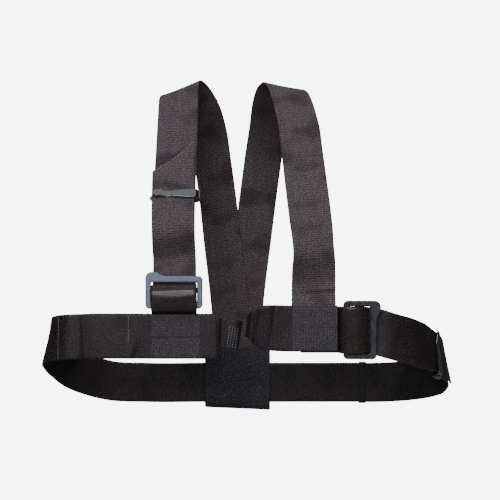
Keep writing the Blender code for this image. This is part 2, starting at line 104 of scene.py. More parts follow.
def walk(route, u):
    """Point, width direction and outward normal at station numbers u. Outward is width direction x travel."""
    points, across = route
    u = np.asarray(u, float)
    gaps = np.linalg.norm(np.diff(points, axis=0), axis=1)
    along = unit(cubic(points, gaps, u + 0.02) - cubic(points, gaps, u - 0.02))
    side = cubic(across, gaps, u)
    side = unit(side - along * np.sum(side * along, axis=-1, keepdims=True))
    return cubic(points, gaps, u), side, np.cross(side, along)


def follow(route, u, lift=0.0, shift=0.0):
    """A new path beside a route: moved outward by lift and sideways by shift, in millimetres."""
    point, across, normal = walk(route, u)
    lift = np.broadcast_to(lift, np.shape(u))[:, None] * MM
    shift = np.broadcast_to(shift, np.shape(u))[:, None] * MM
    return point + normal * lift + across * shift, across


def chain(*pieces):
    """Several paths end to end, as one."""
    return np.vstack([p for p, _ in pieces]), np.vstack([a for _, a in pieces])


def ramp(s, low, high, start, finish):
    """low before start, high after finish, and the smooth step 3t2 - 2t3 between them."""
    t = np.clip((s - start) / (finish - start), 0.0, 1.0)
    return low + (high - low) * t * t * (3 - 2 * t)


def hump(s, centre, spread):
    """A bell of height 1: e to the minus square of distance over spread."""
    return np.exp(-((s - centre) / spread) ** 2)

# %% [markdown]
# ## The band surface
# Real webbing is a woven band with soft, round edges, and spring steel strip has the same section on a
# smaller scale. Solidify on a plane would leave square edges and no map along the length. So one function
# carries a closed section, flat in front and behind and round at both edges, along a path. It also writes a
# UV map in metres, across and along the band, which the weave follows round every bend.

# %% Band builder
def section(columns, rim, arc=4):
    """Closed outline of a band: across from -0.5 to 0.5, and out from -1 to 1. rim is the edge's share."""
    flat = np.linspace(-0.5 + rim, 0.5 - rim, columns)
    angle = np.linspace(0, math.pi, arc + 2)[1:-1]
    edge_across = 0.5 - rim + rim * np.sin(angle)
    edge_out = np.cos(angle)
    across = np.concatenate([flat, edge_across, flat[::-1], -edge_across])
    out = np.concatenate([np.ones(columns), edge_out, -np.ones(columns), -edge_out])
    return across, out


def mesh_object(name, points, faces, uv, material, sharp=50):
    """A smooth-shaded object with its UV map "web"; edges over sharp degrees stay sharp."""
    mesh = bpy.data.meshes.new(name)
    mesh.from_pydata(points.reshape(-1, 3).tolist(), [], faces)
    layer = mesh.uv_layers.new(name="web")
    corners = np.empty(len(mesh.loops), int)
    mesh.loops.foreach_get("vertex_index", corners)
    layer.data.foreach_set("uv", uv.reshape(-1, 2)[corners].ravel())
    mesh.polygons.foreach_set("use_smooth", [True] * len(mesh.polygons))
    mesh.set_sharp_from_angle(angle=math.radians(sharp))
    mesh.materials.append(material)
    mesh.update()
    obj = bpy.data.objects.new(name, mesh)
    bpy.context.scene.collection.objects.link(obj)
    return obj


def band(name, route, material, start=0.0, end=None, width=45.0, thickness=2.0, lift=0.0, shift=0.0,
         cut_start=0.0, cut_end=0.0, step=1.2, columns=18, relief=None, warp=None):
    """A band along a route: point + width direction x side + normal x (lift + half thickness + relief).

    s runs 0 to 1 along the band and a runs -0.5 to 0.5 across it. width, lift, shift and relief are
    millimetres, or functions of s, and relief of (s, a). cut_start and cut_end slant the ends, in stations.
    """
    end = len(route[0]) - 1 if end is None else end
    line = np.linspace(start - abs(cut_start), end + abs(cut_end), 800)
    steps = np.linalg.norm(np.diff(walk(route, line)[0], axis=0), axis=1)
    run_length = np.concatenate([[0], np.cumsum(steps)])
    length = np.interp(end, line, run_length) - np.interp(start, line, run_length)
    rows = max(int(length / (step * MM)), 4)
    mean_width = width(np.array([0.5]))[0] if callable(width) else width
    a, out = section(columns, min(thickness / 2 / mean_width, 0.2))
    s = np.linspace(0, 1, rows)[:, None] + 0 * a
    a = 0 * s + a
    out = 0 * s + out
    value = lambda item: item(s) if callable(item) else item + 0 * s
    u = (start + cut_start * a) * (1 - s) + (end + cut_end * a) * s
    point, across, normal = walk(route, u)
    side = a * value(width) + value(shift)
    height = value(lift) + out * thickness / 2 + (relief(s, a) if relief else 0.0)
    points = point + across * (side * MM)[..., None] + normal * (height * MM)[..., None]
    if warp:
        points = points + warp(s, a) * MM
    count = a.shape[1]
    row, k = np.meshgrid(np.arange(rows - 1), np.arange(count), indexing="ij")
    first = row * count + k
    after = row * count + (k + 1) % count
    quads = np.stack([first, after, after + count, first + count], axis=-1).reshape(-1, 4).tolist()
    caps = [list(range(count))[::-1], list(range((rows - 1) * count, rows * count))]
    uv = np.stack([a * value(width) * MM, np.interp(u, line, run_length)], axis=-1)
    obj = mesh_object(name, points, quads + caps, uv, material)
    print(f"{name}: {length / MM:.0f} mm long, {len(obj.data.polygons)} faces")
    return obj

# %% [markdown]
# ## Stitches
# Box stitching is hundreds of small raised threads. A bump pattern would vanish from the side, so each stitch
# is a short closed spindle. All of one seam is a single mesh: one spindle's points are placed at every stitch
# at once by array arithmetic. Machine sewing is never quite regular, so a zigzag can tilt and shift its
# stitches a little, always by the same random numbers.

# %% Stitch builder
def stitches(name, place, along, normal, material, length=2.2, radius=0.35, around=6):
    """Spindles: place + along x length x t + a ring of radius x (1 - 0.75 x (2t)^2), t from -0.5 to 0.5."""
    t = np.array([-0.5, -0.36, 0.0, 0.36, 0.5])
    angle = np.linspace(0, 2 * math.pi, around, endpoint=False)
    side = unit(np.cross(along, normal))
    ring_radius = radius * (1 - 0.75 * (2 * t) ** 2)
    sink = radius * 0.9 * (2 * t) ** 2
    points = (place[:, None, None, :]
              + along[:, None, None, :] * (t * length * MM)[None, :, None, None]
              - normal[:, None, None, :] * (sink * MM)[None, :, None, None]
              + side[:, None, None, :] * (np.outer(ring_radius, np.cos(angle)) * MM)[None, :, :, None]
              + normal[:, None, None, :] * (np.outer(ring_radius, np.sin(angle)) * MM)[None, :, :, None])
    count = len(t) * around
    r, k = np.meshgrid(np.arange(len(t) - 1), np.arange(around), indexing="ij")
    quad = np.stack([r * around + k, (r + 1) * around + k, (r + 1) * around + (k + 1) % around,
                     r * around + (k + 1) % around], axis=-1).reshape(-1, 4)
    base = (np.arange(len(place)) * count)[:, None, None]
    faces = (base + quad).reshape(-1, 4).tolist()
    faces += (base[:, 0] + np.arange(around)).tolist()
    faces += (base[:, 0] + np.arange(count - around, count)[::-1]).tolist()
    uv = np.zeros((len(place) * count, 2))
    uv[:, 1] = np.tile(np.repeat(t, around), len(place)) * length * MM
    print(f"{name}: {len(place)} stitches")
    return mesh_object(name, points, faces, uv, material, sharp=80)


def seam(route, u, a, lift, crosswise=False):
    """Place, direction and normal of stitches at stations u and sides a (mm), lift mm off the path."""
    point, across, normal = walk(route, np.asarray(u, float))
    along = np.cross(normal, across)
    a = np.asarray(a, float)[:, None] * MM
    return point + across * a + normal * lift * MM, (across if crosswise else along), normal


def zigzag(seam_parts, slant=0.5, jitter=0.3):
    """Tilts every other stitch of a seam the other way and moves each a little, by slant and jitter mm."""
    place, along, normal = seam_parts
    side = np.cross(normal, along)
    turn_sign = np.where(np.arange(len(place)) % 2, 1.0, -1.0)[:, None]
    shake = np.random.default_rng(7).uniform(-jitter, jitter, (len(place), 2)) * MM
    return place + along * shake[:, :1] + side * shake[:, 1:], unit(along + side * slant * turn_sign), normal


def rows_of(xs, ys):
    """Every pairing of two lists, as two flat arrays."""
    x, y = np.meshgrid(xs, ys, indexing="ij")
    return x.ravel(), y.ravel()

# %% [markdown]
# ## Woven materials
# Each web is woven, and its ribs are what the eye reads first. The ribs run across the band and waver in a
# zigzag, because the warp threads cross over in turn. One shader group works this out from the UV map, and
# each webbing gives it its own pitch. The ribs' colour is painted light on their tops and painted shade
# between them. Bright flecks are painted glints of threads that catch the light, and soft dark patches are
# painted shade that stands in for the shade of folds. An image texture would blur up close; this stays sharp.

# %% Node helpers
def math_node(tree, operation, a, b=None):
    """A Math node. a and b are numbers or sockets."""
    node = tree.nodes.new("ShaderNodeMath")
    node.operation = operation
    for socket, item in zip(node.inputs, (a, b)):
        if isinstance(item, bpy.types.NodeSocket):
            tree.links.new(item, socket)
        elif item is not None:
            socket.default_value = item
    return node.outputs[0]


def noise(tree, vector, scale, detail=2.0):
    """A Noise texture's value, about 0.3 to 0.7."""
    node = tree.nodes.new("ShaderNodeTexNoise")
    node.inputs["Scale"].default_value = scale
    node.inputs["Detail"].default_value = detail
    tree.links.new(vector, node.inputs["Vector"])
    return node.outputs["Fac"]


def spread(tree, value, low, high, to_low=0.0, to_high=1.0):
    """Map Range: low..high becomes to_low..to_high, clamped."""
    node = tree.nodes.new("ShaderNodeMapRange")
    tree.links.new(value, node.inputs["Value"])
    for name, number in (("From Min", low), ("From Max", high), ("To Min", to_low), ("To Max", to_high)):
        node.inputs[name].default_value = number
    return node.outputs["Result"]


def stretched(tree, vector, x, y, z=1.0):
    """The vector times (x, y, z), so that a noise on it is longer one way than the other."""
    node = tree.nodes.new("ShaderNodeVectorMath")
    node.operation = "MULTIPLY"
    tree.links.new(vector, node.inputs[0])
    node.inputs[1].default_value = (x, y, z)
    return node.outputs[0]


def mixed(tree, factor, low, high):
    """Colour mix. low and high are colours or sockets."""
    node = tree.nodes.new("ShaderNodeMix")
    node.data_type = "RGBA"
    tree.links.new(factor, node.inputs["Factor"])
    for socket, item in ((node.inputs[6], low), (node.inputs[7], high)):
        if isinstance(item, bpy.types.NodeSocket):
            tree.links.new(item, socket)
        else:
            socket.default_value = (*item, 1.0)
    return node.outputs[2]


def new_group(name, inputs, outputs):
    """An empty shader group with its sockets, and its input and output nodes."""
    group = bpy.data.node_groups.new(name, "ShaderNodeTree")
    for label, kind in inputs:
        group.interface.new_socket(name=label, in_out="INPUT", socket_type=kind)
    for label in outputs:
        group.interface.new_socket(name=label, in_out="OUTPUT", socket_type="NodeSocketFloat")
    return group, group.nodes.new("NodeGroupInput"), group.nodes.new("NodeGroupOutput")

# %% The weave group
weave, inside, result = new_group(
    "weave",
    [("Map", "NodeSocketVector"), ("Pitch", "NodeSocketFloat"), ("Zigzag", "NodeSocketFloat"),
     ("Depth", "NodeSocketFloat")],
    ["Height", "Rib", "Fleck", "Stripe"])
split = weave.nodes.new("ShaderNodeSeparateXYZ")
weave.links.new(inside.outputs["Map"], split.inputs[0])
turns = math_node(weave, "DIVIDE", split.outputs[0], inside.outputs["Zigzag"])
turns = math_node(weave, "PINGPONG", turns, 0.5)
waver = noise(weave, stretched(weave, inside.outputs["Map"], 420.0, 160.0), 1.0, 3.0)
phase = math_node(weave, "DIVIDE", split.outputs[1], inside.outputs["Pitch"])
phase = math_node(weave, "ADD", phase, math_node(weave, "MULTIPLY", turns, inside.outputs["Depth"]))
phase = math_node(weave, "ADD", phase, math_node(weave, "MULTIPLY", waver, 0.9))
wave = math_node(weave, "SINE", math_node(weave, "MULTIPLY", phase, 2 * math.pi))
rib = spread(weave, wave, -1.0, 1.0)
yarn = noise(weave, stretched(weave, inside.outputs["Map"], 1500.0, 600.0), 1.0, 2.0)
speckle = noise(weave, stretched(weave, inside.outputs["Map"], 520.0, 700.0), 1.0, 2.0)
fleck = spread(weave, speckle, 0.48, 0.68)
streak = noise(weave, stretched(weave, inside.outputs["Map"], 130.0, 3.0), 1.0, 1.0)
stripe = spread(weave, streak, 0.35, 0.65)
rib_part = math_node(weave, "MULTIPLY", rib, 0.7)
height = math_node(weave, "ADD", rib_part, math_node(weave, "MULTIPLY", yarn, 0.3))
for label, socket in (("Height", height), ("Rib", rib), ("Fleck", fleck), ("Stripe", stripe)):
    weave.links.new(socket, result.inputs[label])
print("weave group:", len(weave.nodes), "nodes")

# %% Webbing materials
def start_material(name, roughness, metallic=0.0, specular=0.5):
    """A node material with its constants on the shader's own sockets."""
    material = bpy.data.materials.new(name)
    material.use_nodes = True
    shader = material.node_tree.nodes["Principled BSDF"]
    shader.inputs["Roughness"].default_value = roughness
    shader.inputs["Metallic"].default_value = metallic
    shader.inputs["Specular IOR Level"].default_value = specular
    return material, material.node_tree, shader


def bump_to(tree, shader, height, strength, distance):
    """Height, distance millimetres from low to high, as the shader's normal."""
    bump = tree.nodes.new("ShaderNodeBump")
    bump.inputs["Strength"].default_value = strength
    bump.inputs["Distance"].default_value = distance * MM
    tree.links.new(height, bump.inputs["Height"])
    tree.links.new(bump.outputs["Normal"], shader.inputs["Normal"])


def woven(name, dark, light, tint, pitch, zigzag, depth, relief, roughness, specular, sheen,
          sparkle=2.2, wear_and_painted_shade=0.3):
    """Webbing: painted shade between lit ribs, faint stripes, flecks of painted glint, patches of painted
    fold shade.
    """
    material, tree, shader = start_material(name, roughness, specular=specular)
    shader.inputs["Sheen Weight"].default_value = sheen
    shader.inputs["Sheen Roughness"].default_value = 0.5
    shader.inputs["Sheen Tint"].default_value = (0.85, 0.82, 0.95, 1.0)
    web_map = tree.nodes.new("ShaderNodeUVMap")
    web_map.uv_map = "web"
    group = tree.nodes.new("ShaderNodeGroup")
    group.node_tree = weave
    tree.links.new(web_map.outputs[0], group.inputs["Map"])
    group.inputs["Pitch"].default_value = pitch * MM
    group.inputs["Zigzag"].default_value = zigzag * MM
    group.inputs["Depth"].default_value = depth
    # Darker between the ribs and lighter on them: painted shade and painted light of the rib relief.
    rib_colour = mixed(tree, group.outputs["Rib"], dark, light)
    striped = mixed(tree, spread(tree, group.outputs["Stripe"], 0.0, 1.0, 0.0, 0.55), rib_colour, tint)
    # Bright flecks, a brighter copy of the light colour: painted glints of threads that catch the light.
    brighter = tuple(min(c * sparkle, 1.0) for c in light)
    flecked = mixed(tree, spread(tree, group.outputs["Fleck"], 0.0, 1.0, 0.0, 0.55), striped, brighter)
    # Soft dark patches mixed towards the dark colour: painted shade that stands in for the shade of folds in
    # the web.
    painted_shade_patch = noise(tree, stretched(tree, web_map.outputs[0], 22.0, 30.0), 1.0, 2.0)
    colour = mixed(tree, spread(tree, painted_shade_patch, 0.50, 0.66, 0.0, wear_and_painted_shade), flecked, dark)
    tree.links.new(colour, shader.inputs["Base Color"])
    patchy = noise(tree, stretched(tree, web_map.outputs[0], 30.0, 22.0), 1.0, 2.0)
    sheen_patches = spread(tree, patchy, 0.3, 0.7, roughness - 0.07, roughness + 0.07)
    tree.links.new(sheen_patches, shader.inputs["Roughness"])
    bump_to(tree, shader, group.outputs["Height"], 0.8, relief)
    return material


shoulder_web = woven("ribbed shoulder webbing", (0.011, 0.008, 0.010), (0.068, 0.052, 0.063),
                     (0.040, 0.041, 0.032), pitch=2.3, zigzag=2.9, depth=0.45, relief=0.30,
                     roughness=0.75, specular=0.10, sheen=0.05, sparkle=2.0, wear_and_painted_shade=0.55)
belt_web = woven("satin belt webbing", (0.0015, 0.001, 0.0015), (0.011, 0.008, 0.0105),
                 (0.005, 0.0035, 0.0045), pitch=1.9, zigzag=2.4, depth=0.8, relief=0.24,
                 roughness=0.45, specular=0.42, sheen=0.0, sparkle=5.0, wear_and_painted_shade=0.6)
anchor_web = woven("glossy anchor webbing", (0.005, 0.003, 0.003), (0.017, 0.012, 0.013),
                   (0.012, 0.009, 0.007), pitch=1.3, zigzag=3.0, depth=0.6, relief=0.06,
                   roughness=0.26, specular=0.35, sheen=0.0)
sleeve_web = woven("twill sleeve webbing", (0.003, 0.003, 0.004), (0.019, 0.018, 0.025),
                   (0.008, 0.008, 0.011), pitch=2.2, zigzag=4.2, depth=1.2, relief=0.30,
                   roughness=0.6, specular=0.3, sheen=0.03, sparkle=4.0, wear_and_painted_shade=0.3)
elastic_web = woven("woven elastic", (0.004, 0.004, 0.004), (0.014, 0.014, 0.015),
                    (0.008, 0.008, 0.008), pitch=0.9, zigzag=1.6, depth=0.2, relief=0.12,
                    roughness=0.6, specular=0.3, sheen=0.0)
print("woven materials:", [m.name for m in (shoulder_web, belt_web, anchor_web, sleeve_web, elastic_web)])

# %% [markdown]
# ## Thread and metal
# The sewing thread is a lighter grey than the webbing, and the metal parts are handled daily, so their finish
# is mottled and finely scratched. The scratches and mottling are one group, shared by the three finishes.

# %% The handled-metal group, metals and threads
handled, inside, result = new_group(
    "handled metal", [("Place", "NodeSocketVector"), ("Grain", "NodeSocketFloat")], ["Mottle", "Scratch"])
cloudy = handled.nodes.new("ShaderNodeTexNoise")
cloudy.inputs["Detail"].default_value = 4.0
handled.links.new(inside.outputs["Place"], cloudy.inputs["Vector"])
handled.links.new(inside.outputs["Grain"], cloudy.inputs["Scale"])
fine = noise(handled, stretched(handled, inside.outputs["Place"], 300.0, 300.0, 3000.0), 1.0, 2.0)
handled.links.new(spread(handled, cloudy.outputs["Fac"], 0.35, 0.65), result.inputs["Mottle"])
handled.links.new(spread(handled, fine, 0.55, 0.72), result.inputs["Scratch"])


def metal(name, colour, wear_and_painted_shade, roughness, metallic, grain=260.0):
    """A coated or bare metal: mottled and scratched from colour towards worn."""
    material, tree, shader = start_material(name, roughness, metallic)
    place = tree.nodes.new("ShaderNodeTexCoord").outputs["Object"]
    group = tree.nodes.new("ShaderNodeGroup")
    group.node_tree = handled
    tree.links.new(place, group.inputs["Place"])
    group.inputs["Grain"].default_value = grain
    base = mixed(tree, spread(tree, group.outputs["Mottle"], 0.0, 1.0, 0.0, 0.35), colour, wear_and_painted_shade)
    scratched = mixed(tree, spread(tree, group.outputs["Scratch"], 0.0, 1.0, 0.0, 0.30), base, wear_and_painted_shade)
    tree.links.new(scratched, shader.inputs["Base Color"])
    tree.links.new(spread(tree, group.outputs["Mottle"], 0.0, 1.0, roughness - 0.06, roughness + 0.08),
                   shader.inputs["Roughness"])
    bump_to(tree, shader, group.outputs["Scratch"], 0.1, 0.01)
    return material


blue_frame = metal("blue-grey coated steel", (0.120, 0.135, 0.185), (0.20, 0.215, 0.27), 0.38, 0.55)
black_frame = metal("black coated steel", (0.022, 0.023, 0.027), (0.07, 0.07, 0.08), 0.38, 0.4)
spring_steel = metal("bright spring steel", (0.17, 0.17, 0.185), (0.23, 0.23, 0.24), 0.22, 0.95, 40.0)


def sewing_thread(name, low, high):
    """Thread: a fine noise between two greys."""
    material, tree, shader = start_material(name, 0.6)
    place = tree.nodes.new("ShaderNodeTexCoord").outputs["Object"]
    twist = noise(tree, stretched(tree, place, 900.0, 900.0, 900.0), 1.0)
    tree.links.new(mixed(tree, spread(tree, twist, 0.3, 0.7), low, high), shader.inputs["Base Color"])
    return material


thread = sewing_thread("grey sewing thread", (0.012, 0.011, 0.013), (0.13, 0.12, 0.145))
pale_thread = sewing_thread("pale sewing thread", (0.10, 0.095, 0.105), (0.20, 0.19, 0.21))
print("metals and threads:", [m.name for m in (blue_frame, black_frame, spring_steel, thread, pale_thread)])

# %% [markdown]
# ## Routes
# These are the lines that the webs take in the worn shape, the same ones that the CAD parts follow. Each pair
# is a point in millimetres and the direction of the width there. Left and right are the wearer's.

# %% Stations
X = (1, 0, 0)
UP = (0, 0, 1)
right_shoulder = path([
    ((-55.5, -139.7, -212.0), X), ((-55.5, -140.3, -205.5), X),
    ((-56, -128.5, -194.5), X), ((-56.3, -127, -188), X), ((-56.7, -130, -176), X),
    ((-57, -134, -162), X),
    ((-57.5, -124, -143.5), X), ((-57.7, -107, -123), X),
    ((-57.9, -90.4, -103), X), ((-57.9, -73.8, -83), X),
    ((-57.5, -54, -53), (1, 0, 0.02)), ((-57.6, -36, -27), (1, 0, 0.10)),
    ((-57.4, -20, -8), (1, 0, 0.27)), ((-55, 2, -0.5), (1, 0, 0.42)), ((-46, 28, -4.5), (1, 0, 0.42)),
    ((-36, 47, -19), (1, 0, 0.30)), ((-28.2, 68, -43.7), (1, 0, 0.20)),
    ((-23.5, 79, -75.3), (1, 0, 0.17)), ((-17.7, 82, -118.3), (1, 0, 0.15)),
    ((-12.2, 77, -168.1), (1, 0, 0.13)), ((-3.9, 62, -235.5), (1, 0, 0.12)),
    ((1.0, 52.0, -289), (1, 0, 0.07)), ((3.2, 51.2, -315), (1, 0, 0.05)),
    ((4.5, 51.2, -350), (1, 0, 0.05))])
left_shoulder = path([
    ((82.2, -174, -276), X), ((82.2, -174, -244), X), ((82.2, -173.9, -235), X),
    ((82.3, -172, -229), X),
    ((82.4, -165.5, -221), X), ((82.6, -163.5, -213), X), ((82.7, -166, -199), (0.98, 0.12, 0)),
    ((82.8, -170.5, -184), (0.94, 0.30, 0)),
    ((81.8, -165, -168), (0.94, 0.30, 0)), ((80.4, -150, -149), (0.98, 0.15, 0)),
    ((77.1, -117, -109.6), (1, 0, -0.02)), ((74.3, -88, -76.0), (1, 0, -0.04)),
    ((70.9, -62, -44.4), (1, 0, -0.06)), ((65.6, -38, -18), (1, 0, -0.12)),
    ((61, -19, -4), (1, 0, -0.17)), ((55.5, 2, 1.6), (1, 0, -0.19)), ((48.5, 24, -2.5), (1, 0, -0.17)),
    ((43.8, 45, -16), (1, 0, -0.16)), ((40.8, 64, -38.2), (1, 0, -0.15)),
    ((35.6, 79.4, -70.8), (1, 0, -0.14)), ((32.0, 84, -97.4), (1, 0, -0.14)),
    ((23.0, 80.6, -168.0), (1, 0, -0.13)), ((14.5, 65.2, -235.5), (1, 0, -0.11)),
    ((10.5, 54.6, -289), (1, 0, -0.05)), ((9.3, 53.9, -315), (1, 0, -0.03)),
    ((8.6, 53.9, -350), (1, 0, -0.02))])
RIGHT_LEAN = (0.24, 0, 1)
LEFT_LEAN = (-0.20, 0, 1)
waist = path([
    ((-14, -139.2, -265.2), UP), ((-77, -139.2, -265.2), UP), ((-147, -139.2, -265.4), UP),
    ((-166, -137, -266.4), (0.04, 0, 1)), ((-180.5, -125, -269), (0.14, 0, 1)),
    ((-189, -96, -275), RIGHT_LEAN), ((-193, -55, -284), RIGHT_LEAN), ((-190, -14, -296.5), RIGHT_LEAN),
    ((-174, 20, -314), (0.16, 0, 1)), ((-138, 41, -327.5), (0.04, 0, 1)), ((-97, 46, -330), UP),
    ((-31, 47, -330), UP), ((43, 47, -330), UP), ((103, 47, -330), UP), ((140, 47.2, -330), UP),
    ((158, 45.5, -330), UP), ((200, 29, -326), (-0.14, 0, 1)),
    ((221.5, -4, -317.5), LEFT_LEAN), ((226, -46, -306), LEFT_LEAN),
    ((222.5, -80, -296.5), LEFT_LEAN), ((215, -105, -289), LEFT_LEAN),
    ((206.5, -122, -283.5), LEFT_LEAN), ((198, -139, -278), LEFT_LEAN),
    ((186, -154, -272.6), (-0.12, 0, 1)), ((171, -164.0, -267.2), (-0.05, 0, 1)),
    ((153, -169.0, -261.8), UP), ((146, -168.9, -259.4), UP), ((140.4, -168.6, -258.8), UP)])
left_panel = path([
    ((105.6, -176.5, -255.8), UP), ((66, -176.5, -255.8), UP), ((57, -176.6, -255.8), UP),
    ((45, -177.5, -255.4), (0.0, -0.06, 1)), ((33, -178.5, -254.6), (0.05, -0.18, 1)),
    ((22, -178.2, -253.8), (0.12, -0.22, 1)), ((17.4, -173, -253.6), (0.10, -0.1, 1)),
    ((22, -167.4, -253.8), (0, 0, 1)), ((33, -166.2, -254.6), UP), ((45, -166.6, -255.4), UP),
    ((57, -166.4, -255.8), UP), ((66, -166.4, -255.8), UP), ((105.6, -166.4, -255.8), UP)])
right_eye = path([
    ((-30, -144.0, -263.5), UP), ((-14, -144.0, -263.5), UP), ((-2, -146.2, -264.3), (0.08, 0, 1)),
    ((5.6, -146.2, -265.6), (0.14, 0, 1)), ((9.4, -142.2, -266.2), (0.14, 0, 1)),
    ((5.6, -138.2, -265.6), (0.14, 0, 1)), ((-2, -138.6, -264.3), (0.08, 0, 1)),
    ((-14, -141.6, -263.5), UP), ((-30, -141.6, -263.5), UP)])
RIGHT_BUCKLE = np.array((-55.7, -149.0, -234.8))
LEFT_BUCKLE = np.array((113.7, -176.6, -257.0))


def in_right_buckle(points):
    """Buckle points (depth, height) in mm as stations in the upright buckle on the wearer's right."""
    return path([(RIGHT_BUCKLE + (0, depth, height), X) for depth, height in points])


def in_left_buckle(points):
    """The same for the buckle on the wearer's left, which lies on its side: its height runs along +X."""
    return path([(LEFT_BUCKLE + (height, depth, 0), UP) for depth, height in points])


TURN = [(9.9, 18.6), (11.0, 15.5), (11.3, 12.5), (10.2, 9.2), (7.6, 8.2), (5.0, 9.2), (3.9, 12.5),
        (4.0, 16.0), (3.9, 18.6)]
print("waist route stations:", len(waist[0]))

# %% [markdown]
# ## Right shoulder strap and its tail
# One piece of ribbed webbing leaves the back sleeve, goes over the shoulder and down the chest, passes behind
# the buckle's top bar, turns round the slide bar and comes back up as the loose tail, which ends in a slanted
# cut. Modelled as one band it turns the bar without a break.

# %% Right shoulder strap
TAIL_STEP = 0.25
TAIL_END = 8.95
STRAP_TOP = 23
TAIL_SLANT = 1.55
STRAP_WIDTH = 43.4
tail_u = np.arange(0, 10.01, TAIL_STEP)
tail_s = tail_u / TAIL_END
down = follow(right_shoulder, np.arange(STRAP_TOP, -0.01, -TAIL_STEP))
turn = in_right_buckle(TURN)
up = follow(right_shoulder, tail_u, ramp(tail_s, 5.4, 2.9, 0.0, 0.14), ramp(tail_s, 0, -2.0, 0.5, 0.95))
right_web = chain(down, turn, up)
tail_start = len(down[0]) + len(turn[0])


def drift(s, a):
    """Slow, shallow waves that keep a flat web from looking machined: sines of s and a, 0.12 mm high."""
    return 0.12 * np.sin(s * 61.0 + 2.0 * a) * np.cos(s * 23.0 - 5.0 * a)


def strap_folds(s, a):
    """A knee that strap and tail share, a slanted ridge on the chest, and the drift, all by station number.

    The band's normal points inward on the way down, so the strap's folds there have a minus sign.
    """
    row = s * (tail_start + TAIL_END / TAIL_STEP)
    strap_u = STRAP_TOP - row * TAIL_STEP
    tail_u = (row - tail_start) * TAIL_STEP
    knee = lambda u: 1.7 * hump(u - 0.25 * a, 5.1, 0.7) - 1.4 * hump(u - 0.25 * a, 3.3, 0.6)
    ridge = 2.4 * hump(strap_u - 0.65 * a, 10.0, 0.42)
    on_strap = row < len(down[0])
    return drift(s, a) - on_strap * (knee(strap_u) + ridge) + (tail_u > 0) * knee(tail_u)


right_strap = band("right_shoulder_web", right_web, shoulder_web, end=tail_start + TAIL_END / TAIL_STEP,
                   cut_end=TAIL_SLANT / TAIL_STEP, width=STRAP_WIDTH, relief=strap_folds)
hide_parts("right_shoulder_strap", "right_strap_tail", "right_strap_turn")
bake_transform(right_strap)

# %% [markdown]
# ## Left shoulder strap
# The left strap is a plain web. Its lower end is sewn between the layers of the left front panel, so it
# rides with the webbing and needs no bend.

# %% Left shoulder strap
def left_strap_folds(s, a):
    """A ridge and a dent below the shoulder, a slanted ridge above the sewn end, and the drift."""
    shoulder = 2.6 * hump(s + 0.01 * a, 0.47, 0.016) - 1.4 * hump(s, 0.415, 0.022) * (0.7 - 0.6 * a)
    return drift(s, a) + shoulder + 2.6 * hump(s - 0.03 * a, 0.17, 0.014)


left_strap = band("left_shoulder_web", left_shoulder, shoulder_web,
                  width=STRAP_WIDTH, relief=left_strap_folds)
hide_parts("left_shoulder_strap")
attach(left_strap, "webbing")

# %% [markdown]
# ## Waist belt
# The belt is satin webbing. It is made as two bands that meet under the left spring clip, which hides the
# joint: the long one is fixed, and the short one goes through the left buckle, round its slide bar and back
# as the tail.

# %% Waist belt
long_belt = band("waist_belt_web", waist, belt_web, end=21.0, relief=drift)
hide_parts("waist_belt")
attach(long_belt, "webbing")

belt_u = np.arange(27, 18.59, -0.2)
belt_s = (belt_u - 18.8) / 8.2
belt_in = follow(waist, np.arange(21.0, 27.01, 0.2))
belt_back = follow(waist, belt_u, ramp(belt_s, 2.9, 4.1, 0.80, 1.0))
belt_web_path = chain(belt_in, in_left_buckle(TURN), belt_back)
belt_end = band("belt_buckle_web", belt_web_path, belt_web, end=len(belt_web_path[0]) - 2, relief=drift)
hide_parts("belt_tail", "left_strap_turn")
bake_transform(belt_end)

# %% [markdown]
# ## Anchor webs
# Each buckle hangs on a short glossy web: out of the sewn block, forward over the buckle's lower bar, up in a
# bulge to the slot under the top bar, back over and down behind the bar to the block again. It is one band,
# and on the right buckle its bulge leans a little, as a web pulled slightly to one side does.

# %% Anchor webs
ANCHOR_WIDTH = 45.5


def anchor_path(front_tab, rear_tab, depth):
    """(depth, height) points in mm round the lower bar; front_tab and rear_tab are the sewn ends' depths."""
    return [(front_tab, -depth), (front_tab, -26), (front_tab, -14), (front_tab - 0.1, -9.8),
            (front_tab - 1.8, -6.9), (-0.6, -5.3), (-4.0, -4.4), (-5.9, -0.5), (-6.9, 5.5), (-7.1, 11.5),
            (-5.8, 16.8), (-2.6, 20.4), (0.5, 18.9), (0.9, 12.0), (2.2, 7.0), (4.3, 2.8), (4.6, -1.0),
            (4.9, -5.0), (rear_tab - 0.7, -8.6), (rear_tab, -12), (rear_tab, -26), (rear_tab, -depth)]


def lean(s, a):
    """The bulge's crest slants: it rises 1.6 mm from edge to edge, only over the front of the loop."""
    rise = 1.6 * a * hump(s, 0.42, 0.10)
    return np.stack([0 * s, 0 * s, rise], axis=-1)


right_anchor = band("right_anchor_web", in_right_buckle(anchor_path(5.0, 7.4, 40)), anchor_web, step=0.8,
                    width=ANCHOR_WIDTH, warp=lean, relief=drift)
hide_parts("right_anchor_loop", "right_anchor_tab_front", "right_anchor_tab_rear")
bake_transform(right_anchor)
left_anchor = band("left_anchor_web", in_left_buckle(anchor_path(5.2, 7.6, 44)), anchor_web, step=0.8,
                   width=ANCHOR_WIDTH, relief=drift)
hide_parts("left_anchor_loop", "left_anchor_tab_front", "left_anchor_tab_rear")
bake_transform(left_anchor)

# %% [markdown]
# ## Front panels and eyes
# The right panel is a second layer over the belt with a slanted end. The left panel is folded round at the
# middle of the chest and gathered there into an eye for a hook. The right eye is a narrower loop. Their folds
# are added to the bands as relief: bells and ramps of the two surface parameters.

